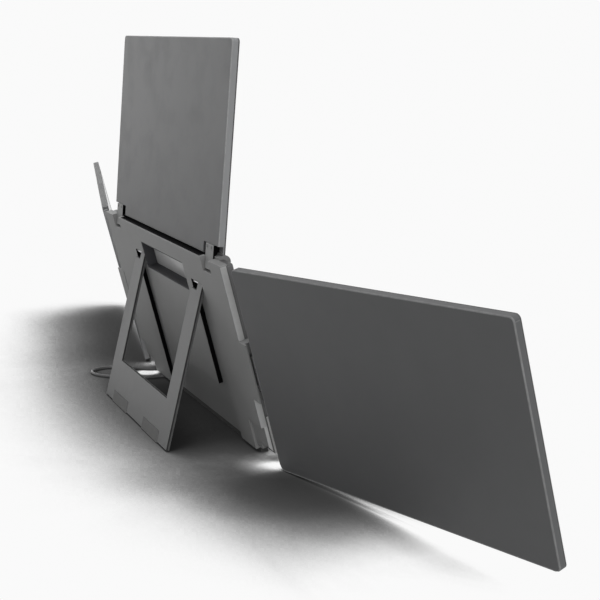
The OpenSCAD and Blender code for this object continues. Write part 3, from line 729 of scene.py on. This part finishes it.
class Growth(Nodes):
    """A Geometry Nodes tree with named inputs, baked onto the mesh that grows it."""

    def __init__(self, name, **inputs):
        super().__init__(bpy.data.node_groups.new(name, "GeometryNodeTree"))
        self.keys = {}
        self.socket("Geometry", "INPUT", "NodeSocketGeometry")
        self.socket("Geometry", "OUTPUT", "NodeSocketGeometry")
        for key, value in inputs.items():
            kind = "NodeSocketInt" if isinstance(value, int) else "NodeSocketFloat"
            made = self.socket(key, "INPUT", kind)
            made.default_value = value
            self.keys[key] = made.identifier
        self.inside = self.tree.nodes.new("NodeGroupInput")

    def socket(self, name, way, kind):
        return self.tree.interface.new_socket(name, in_out=way, socket_type=kind)

    def input(self, key):
        return Value(self, self.inside.outputs[key])

    def vector(self, x=0.0, y=0.0, z=0.0):
        return self.node("CombineXYZ", X=x, Y=y, Z=z)

    def box(self, size, centre):
        made = self.node("GeometryNodeMeshCube", Size=size)
        return self.node("GeometryNodeTransform", Geometry=made, Translation=centre)

    def join(self, *parts):
        return self.node("GeometryNodeJoinGeometry", Geometry=list(parts))

    def painted(self, geometry, finish):
        return self.node("GeometryNodeSetMaterial", Geometry=geometry, Material=FINISH[finish])

    def close(self, geometry):
        out = self.tree.nodes.new("NodeGroupOutput")
        self.feed(out.inputs[0], self.node("GeometryNodeRealizeInstances", Geometry=geometry))

    def grow(self, piece, matrix, **values):
        """Runs the tree on a piece, bakes it, and moves the result to its place."""
        modifier = piece.modifiers.new(self.tree.name, "NODES")
        modifier.node_group = self.tree
        for key, value in values.items():
            modifier[self.keys[key]] = value
        settle(piece)
        piece.data.transform(matrix)
        if matrix.determinant() < 0:
            piece.data.flip_normals()
        materials = piece.data.materials
        while None in materials[:]:
            materials.pop(index=materials[:].index(None))
        return piece


def screw_tree(finish):
    """Screws at each vertex: a shank as long as its length attribute, and a head with a cross."""
    g = Growth("screws_" + finish, Head_Radius=1.9, Head_Height=1.0, Shank_Radius=1.0, Cross=2.1, Blade=0.5,
               Facing=1.0, Seed=4)
    points, radius, height = g.input("Geometry"), g.input("Head_Radius"), g.input("Head_Height")
    head = g.node("GeometryNodeMeshCone", Vertices=32, Radius_Top=radius * 0.88, Radius_Bottom=radius,
                  Depth=height)
    blades = [g.box(g.vector(g.input(x), g.input(y), height * 1.2), g.vector(z=height))
              for x, y in (("Cross", "Blade"), ("Blade", "Cross"))]
    head = g.node("GeometryNodeMeshBoolean", {"operation": "DIFFERENCE", "solver": "EXACT"}, (head, blades))
    spin = g.node("FunctionNodeRandomValue", Max=6.28, Seed=g.input("Seed"))
    turned_to = g.vector(g.input("Facing") * (-math.pi / 2), spin)
    heads = g.node("GeometryNodeInstanceOnPoints", Points=points, Instance=head, Rotation=turned_to)
    rod = g.node("GeometryNodeMeshCylinder", Vertices=24, Radius=g.input("Shank_Radius"), Depth=1.0)
    rod = g.node("GeometryNodeTransform", Geometry=rod, Translation=(0, 0, -0.5))
    length = g.node("GeometryNodeInputNamedAttribute", {"data_type": "FLOAT"}, Name="length")
    shanks = g.node("GeometryNodeInstanceOnPoints", Points=points, Instance=rod, Rotation=turned_to,
                    Scale=g.vector(1.0, 1.0, length))
    g.close(g.painted(g.join(heads, shanks), finish))
    return g


def port_tree():
    """At each vertex, a port's tongue with a row of contacts through it."""
    g = Growth("port_insides", Count=12, Pitch=0.45, Contact_Width=0.24, Contact_Length=2.8, Turn=0.0)
    count, pitch = g.input("Count"), g.input("Pitch")
    first = (count - 1.0) * pitch * -0.5
    row = g.node("GeometryNodeMeshLine", Count=count, Start_Location=g.vector(first, 0.0, 2.5),
                 Offset=g.vector(pitch))
    contact = g.node("GeometryNodeMeshCube",
                     Size=g.vector(g.input("Contact_Width"), 0.8, g.input("Contact_Length")))
    contacts = g.painted(g.node("GeometryNodeInstanceOnPoints", Points=row, Instance=contact), "contacts")
    tongue = g.painted(g.box((6.4, 0.7, 4.3), (0, 0, 3.05)), "tongue")
    g.close(g.node("GeometryNodeInstanceOnPoints", Points=g.input("Geometry"),
                   Instance=g.join(contacts, tongue), Rotation=g.vector(0.0, g.input("Turn"))))
    return g


def dots(name, places, finish, lengths=()):
    """A mesh of loose vertices, with a length attribute where one is given."""
    mesh = bpy.data.meshes.new(name)
    mesh.from_pydata([tuple(p) for p in places], [], [])
    if lengths:
        layer = mesh.attributes.new("length", "FLOAT", "POINT")
        for item, value in zip(layer.data, lengths):
            item.value = value
    return link(name, mesh, finish)


ARM_X = 143  # middle of each hinge arm from the middle of the upper display
# Each screw's place across, depth of its head, and height; and the lengths of their shanks.
BODY_SCREWS = [(x, BODY_D - 1.4, height) for x in (-172, -120, 112, 172) for height in (56, 128)]
HOOK_SCREWS = [(x, 9, height) for x in (-158, 158) for height in (12, 25)]
ARM_SCREWS = [(SCREEN_W / 2 + side * ARM_X + x, 0.35, 7) for side in SIDES.values() for x in (-5.5, 5.5)]
BODY_SHANK, HOOK_SHANK, ARM_SHANK = BODY_D - 1.4 - WALL - 0.6, 5.0, 4.9


def grow_screws():
    """The screws of the frame and its hooks, which face forward, and of the hinge arms, which face back."""
    steel, grey = screw_tree("steel"), screw_tree("shell")
    lengths = [BODY_SHANK] * len(BODY_SCREWS) + [HOOK_SHANK] * len(HOOK_SCREWS)
    places = dots("frame_screws", BODY_SCREWS + HOOK_SCREWS, "steel", lengths)
    body = steel.grow(places, ON_FRAME, Seed=11)
    tell(body, "frame", "steel", "body_screws")
    places = dots("arm_screws", ARM_SCREWS, "shell", [ARM_SHANK] * len(ARM_SCREWS))
    arms = grey.grow(places, ON_SCREEN["top"], Facing=-1.0, Seed=5)
    tell(arms, "top_screen", "shell", "top_screws")


def grow_ports():
    """The insides of the ports, which open downwards on the side displays and sideways on the upper one."""
    insides = port_tree()
    depth = WALL + PORT_T / 2
    for part in ON_SCREEN:
        name = part + "_port_insides"
        if part == "top":
            places, turn = [(SCREEN_W, depth, z) for z in TOP_PORTS], -math.pi / 2
        else:
            places, turn = [(x, depth, 0) for x in SIDE_PORTS], 0.0
        piece = insides.grow(dots(name, places, "tongue"), ON_SCREEN[part], Turn=turn)
        tell(piece, part + "_screen", "tongue")


grow_screws()
grow_ports()


# ---- Frame ----

SIDE_SPLIT = (0, 5.7, 31.2)  # depth and height at which the painted light on the shell's outer sides changes
BAR_END_X = (126, 132.6)  # from the end of the bar's opening to the hinge arms
BAR_LOW = 178  # lower edge of the bar
RECESS_WALL_X = (-86.7, 92)  # the recess's walls that face the user's left
RECESS_DEPTH = (0.2, 4.4)  # depths between which those walls are painted black as shade
POCKETS_X = ((-115.9, -86.8), (62.8, 91.9))  # spans of the pockets round the kickstand's pins
POCKET_DEPTH, POCKET_HEIGHT = (4.25, 4.6), (146, 156.7)


def on_outer_side(face, step):
    """Whether a face is an outer side of the frame, or of a piece that stands in from it by under a step."""
    return abs(face.normal.x) > 0.9 and abs(face.calc_center_median().x) > (FRAME_W / 2 - step) * MM


def shell_part(face):
    """The recess's walls facing the user's left and the ends of the bar's opening are painted black as shade.

    The outer sides are painted paler than the back as a painted highlight, palest below the corner hooks'
    tops, and their front strip is painted darker as painted shade.
    """
    place = ON_FRAME.inverted() @ face.calc_center_median()
    low, high = BAR_END_X
    if low < abs(place.x) < high and place.z > BAR_LOW and place.x * face.normal.x < 0.5:
        return 1
    in_recess = RECESS_DEPTH[0] < place.y < RECESS_DEPTH[1]
    if face.normal.x < -0.9 and in_recess and any(abs(place.x - x) < 0.3 for x in RECESS_WALL_X):
        return 1
    if not on_outer_side(face, 0.5):
        return 0
    return 4 if place.y > SIDE_SPLIT[1] else 3 if place.z < SIDE_SPLIT[2] else 2


def hook_part(face):
    """A corner hook is black, as painted shade under the frame's corners, with a pale painted highlight on
    its outer side.
    """
    return on_outer_side(face, 1.5)


def front_part(face):
    """The front frame's outer sides are painted paler, a painted highlight where they lie in shade."""
    return on_outer_side(face, 2.5)


def mount_part(face):
    """A hinge mount is painted black between its arm and the bar, as painted shade."""
    x = face.calc_center_median().x / MM
    return abs(x) < BAR_END_X[1] and x * face.normal.x < 0.5


def stand_part(face):
    """The kickstand's cut edges are painted shade: nearly black towards the back and dark grey towards the
    front.
    """
    if abs(face.normal.dot(KICK_FORWARD)) > 0.7:
        return 0
    return 1 if (ON_KICK.inverted() @ face.calc_center_median()).y < 0 else 2


def facing_sideways(face):
    """Whether a face looks to the left or the right."""
    return abs(face.normal.x) > 0.9


def pocket_painted_shade():
    """Black blocks set in the pockets behind the kickstand's pins, as painted shade."""
    bm = bmesh.new()
    for span in POCKETS_X:
        low, high = zip(span, POCKET_DEPTH, POCKET_HEIGHT)
        rounded_block(bm, low, high, 0.1, 1)
    piece = link("hinge_pocket_painted_shade", new_mesh("linings", bm, ON_FRAME), "painted_shade_black")
    soften(piece)
    tell(piece, "frame", "painted_shade_black")


def dress_frame():
    """Dresses the back frame and the kickstand."""
    place = ON_FRAME @ Vector(SIDE_SPLIT)
    dressed("rear_shell", "rear_shell_moulding", "frame", "shell", 0.35, picked=shell_part,
            others=("painted_shade_black", "shell_side", "low_side", "bracket"), splits=((place, FORWARD), (place, UP)))
    pocket_painted_shade()
    dressed("front_frame", "front_frame_moulding", "frame", "front", 0.4, others=("front_side",),
            picked=front_part)
    dressed("handle_liner", "handle_liner_moulding", "frame", "liner", 0.25)
    dressed("grip_plate", "grip_plate_moulding", "frame", "plate", 0.1, others=("front",),
            picked=lambda face: face.normal.dot(FORWARD) > 0.5)
    # The hinge bar is sheenless black, painted shade for the crevice under the upper display
    dressed("hinge_bar", "hinge_bar_moulding", "frame", "bar", 0.3)
    for side in SIDES:
        dressed("corner_hook_" + side, f"corner_hook_{side}_moulding", "frame", "bar", 0.35,
                others=("low_side",), picked=hook_part)
        # The brackets' side faces are painted darker as painted shade
        dressed("side_bracket_" + side, f"side_bracket_{side}_moulding", "frame", "shell", 0.4,
                others=("bracket",), picked=facing_sideways)
    dressed("top_hinge_mounts", "top_hinge_knuckles", "frame", "shell", 0.3, others=("painted_shade_black",),
            picked=mount_part)
    dressed("kickstand", "kickstand_sheet", "kickstand", "stand", 0.3, others=("stand_side", "stand_edge"),
            picked=stand_part, splits=((ON_KICK @ Vector(), KICK_FORWARD),))


dress_frame()


# ---- Displays ----

RIM = CORNER_R + 0.2  # within this of a cover's outline lie its rounded corners
NOTCH_TOP = 20  # the hinge notches end below this
GLASS_DEPTH = (3.4, SCREEN_T - 0.2)
GLASS_GAP = 0.1  # between the glass and its bezel
GLASS_BORDER = 2.2  # width of the black border round the picture


def cover_weight(part):
    """A cover's back is fully rounded along its outline and sharp round its notches.

    The facets of its rounded corners stay as they are, and its other edges are rounded a little.
    """
    back = ON_SCREEN[part].inverted()

    def weight(a, b):
        a, b = back @ a, back @ b
        if max(a.y, b.y) < 0.05:
            middle = (a + b) / 2
            return float(min(middle.x, SCREEN_W - middle.x, middle.z, SCREEN_H - middle.z) < RIM)
        at_corner = min(a.x, SCREEN_W - a.x) < CORNER_R and min(a.z, SCREEN_H - a.z) < CORNER_R
        return 0.0 if at_corner and abs(a.y - b.y) > 4 else 0.2
    return weight


def cover_part(part):
    """Tells a cover's back, its outer sides, its side next to the frame, and its hinge notches apart."""
    back = ON_SCREEN[part].inverted()
    turn = back.to_3x3()

    def pick(face):
        place, facing = back @ face.calc_center_median(), (turn @ face.normal).normalized()
        if abs(facing.y) > 0.6:
            return 0
        if part == "top":
            notch = RIM < place.x < SCREEN_W - RIM and 1 < place.z < NOTCH_TOP
            return 3 if notch and abs(facing.z) > 0.5 else 0 if notch else 2
        return 3 if facing.x < -0.9 and place.x < 1 else 2
    return pick


def panel_piece(part):
    """The glass of a display, with a UV map over its picture area."""
    left, right = BEZEL_W, SCREEN_W - BEZEL_W
    low, high = TOP_BEZEL_LOW if part == "top" else BEZEL_W, SCREEN_H - BEZEL_W
    bm = bmesh.new()
    rounded_block(bm, (left + GLASS_GAP, GLASS_DEPTH[0], low + GLASS_GAP),
                  (right - GLASS_GAP, GLASS_DEPTH[1], high - GLASS_GAP), 0.25, 2)
    uv = bm.loops.layers.uv.new("panel")
    for face in bm.faces:
        for loop in face.loops:
            x, _, z = loop.vert.co
            loop[uv].uv = ((x - left - GLASS_BORDER) / (right - left - 2 * GLASS_BORDER),
                           (z - low - GLASS_BORDER) / (high - low - 2 * GLASS_BORDER))
    piece = link(part + "_glass", new_mesh(part + "_glass", bm, ON_SCREEN[part]), "glass")
    soften(piece)
    return tell(piece, part + "_screen", "glass", part + "_display")


def dress_screens():
    """Dresses the displays. A side display's inner side is a pale painted highlight over its shade,
    and the notches' ceilings are black painted shade.
    """
    for part in ON_SCREEN:
        body = part + "_screen"
        # rim is the painted edge highlight; last is black painted shade or the pale inner-side highlight
        rim, last = ("top_edge", "painted_shade_black") if part == "top" else ("cover_edge", "inner_side")
        dressed(part + "_cover", part + "_back_cover", body, "cover", 1.0, cover_weight(part), segments=4,
                others=(rim, part + "_side", last), picked=cover_part(part), rim=1)
        dressed(part + "_bezel", part + "_front_bezel", body, "front", 0.3)
        dressed(part + "_button", part + "_power_button", part + "_button", "button", 0.3, segments=3)
        panel_piece(part)
    # The hinge arms' sides are painted black as painted shade
    dressed("top_arms", "top_hinge_arms", "top_screen", "shell", 0.25, others=("painted_shade_black",),
            picked=facing_sideways)


dress_screens()


# ---- CAD nodes that keep their shape ----

def paint():
    """Gives the CAD nodes that stay their finishes."""
    finish_of = {
        "board": ("hub_board", "top_board", "left_board", "right_board"),
        "steel": ("hub_shield", "steel_stiffener", "side_hinge_pins", "top_hinge_pins", "kickstand_pins",
                  "left_screws", "right_screws", "left_leaf", "right_leaf",
                  "top_ports", "left_ports", "right_ports"),
        "pad": ("kickstand_pads", "hook_pads"),
        "foot": ("base_feet",),
    }
    for finish, nodes in finish_of.items():
        for node in nodes:
            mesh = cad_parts[node].data
            mesh.materials.clear()
            mesh.materials.append(FINISH[finish])


paint()


# ---- Floor, backdrop and light ----

FILL = 0.12  # strength of the even light
WHITE = (0.955, 0.955, 0.955)
FLOOR_FACES = (-0.25, 0, 1)  # middle of the directions in which the floor looks for openness
# Painted shadow: grey of the floor by how open it is to the room.
FLOOR_SHADE = [(0.0, 0.008), (0.26, 0.0125), (0.54, 0.06), (0.61, 0.115), (0.69, 0.275), (0.745, 0.68),
               (0.80, 0.955)]
# Strips of painted light: from closed to open along X and along Y in metres, and the share.
PAINTED_LIGHT_STRIPS = [((-0.29, -0.42), (0.09, 0), 0.2), ((-0.25, 0.1), (0.08, 0.17), 0.045)]
# Round painted pools of light, and of shade where the share is below 0: middle, inner and outer reach, and
# share.
PAINTED_LIGHT_AND_SHADE_PATCHES = [((-0.186, 0.004), 0.002, 0.04, 0.18), ((0.160, 0.017), 0.009, 0.019, 0.36),
                ((-0.150, 0.020), 0.004, 0.05, 0.08), ((-0.378, -0.002), 0.01, 0.07, 0.03),
                ((0.36, 0.078), 0.03, 0.12, 0.03), ((-0.18, 0.12), 0.01, 0.06, -0.03),
                ((-0.235, 0.030), 0.015, 0.09, -0.075)]


def make_floor():
    """A pale floor. Seen directly it glows with a painted shadow where the object hides the room from it,
    and with painted patches of light and shade. It bounces soft light from the lamps.
    """
    f = Finish("floor_pale")
    painted_openness = f.node("AmbientOcclusion", {"samples": 32}, output="AO", Distance=2.0,
                        Normal=f.node("CombineXYZ", values=FLOOR_FACES))
    for across, forward, share in PAINTED_LIGHT_STRIPS:
        painted_openness += f.levels(f.along("X"), *across) * f.levels(f.along("Y"), *forward) * share
    for place, inner, outer, share in PAINTED_LIGHT_AND_SHADE_PATCHES:
        painted_openness += f.near(place, inner, outer) * share
    shade = f.node("ValToRGB", {"ramp": FLOOR_SHADE}, Fac=painted_openness)
    f.shade(Base_Color=(0.6, 0.6, 0.6), Roughness=0.9)
    bounce = Value(f, f.shader.outputs[0])
    painted_shadow_glow = f.node("Emission", Color=shade, Strength=1.0)
    f.surface(f.node("MixShader", values=(f.seen(), bounce, painted_shadow_glow)))
    bm = bmesh.new()
    bmesh.ops.create_grid(bm, x_segments=1, y_segments=1, size=12)
    floor = link("floor", new_mesh("floor", bm))
    floor.data.materials.append(f.material)


def make_world():
    """White where it is seen directly or in gloss, and an even fill for everything else."""
    world = bpy.data.worlds.new("studio")
    SCENE.world = world
    world.use_nodes = True
    w = Shading(world.node_tree)
    fill = w.node("Background", Color=(1, 1, 1), Strength=FILL)
    white = w.node("Background", Color=WHITE, Strength=1.0)
    w.surface(w.node("MixShader", values=(w.seen(), fill, white)))


LIGHTS_AIM = (0, 0, 0.2)
# Where each light stands, its width and height in metres, and its power in watts.
LIGHTS = {
    "key": ((-0.7, -2.0, 2.0), (1.2, 1.2), 6),
    "above": ((0, 0.3, 3.0), (2.0, 2.0), 55),
    "left": ((-2.4, 0.6, 1.0), (1.4, 1.4), 24),
    "left_low": ((-2.6, 0, 0.3), (1.6, 0.5), 12),
    "right": ((2.6, 0.3, 0.8), (1.6, 1.6), 13),
    "behind": ((1.9, 2.2, 0.9), (1.6, 1.6), 7.5),
    "behind_low": ((0.3, 2.8, 0.35), (2.0, 0.7), 3.6),
}


def make_lights():
    for name, (place, size, power) in LIGHTS.items():
        data = bpy.data.lights.new(name, "AREA")
        data.shape = "RECTANGLE"
        data.size, data.size_y = size
        data.energy = power
        light = bpy.data.objects.new(name, data)
        SCENE.collection.objects.link(light)
        light.location = place
        light.rotation_euler = (Vector(LIGHTS_AIM) - Vector(place)).to_track_quat("-Z", "Y").to_euler()
        light.visible_camera = False


make_floor()
make_world()
make_lights()
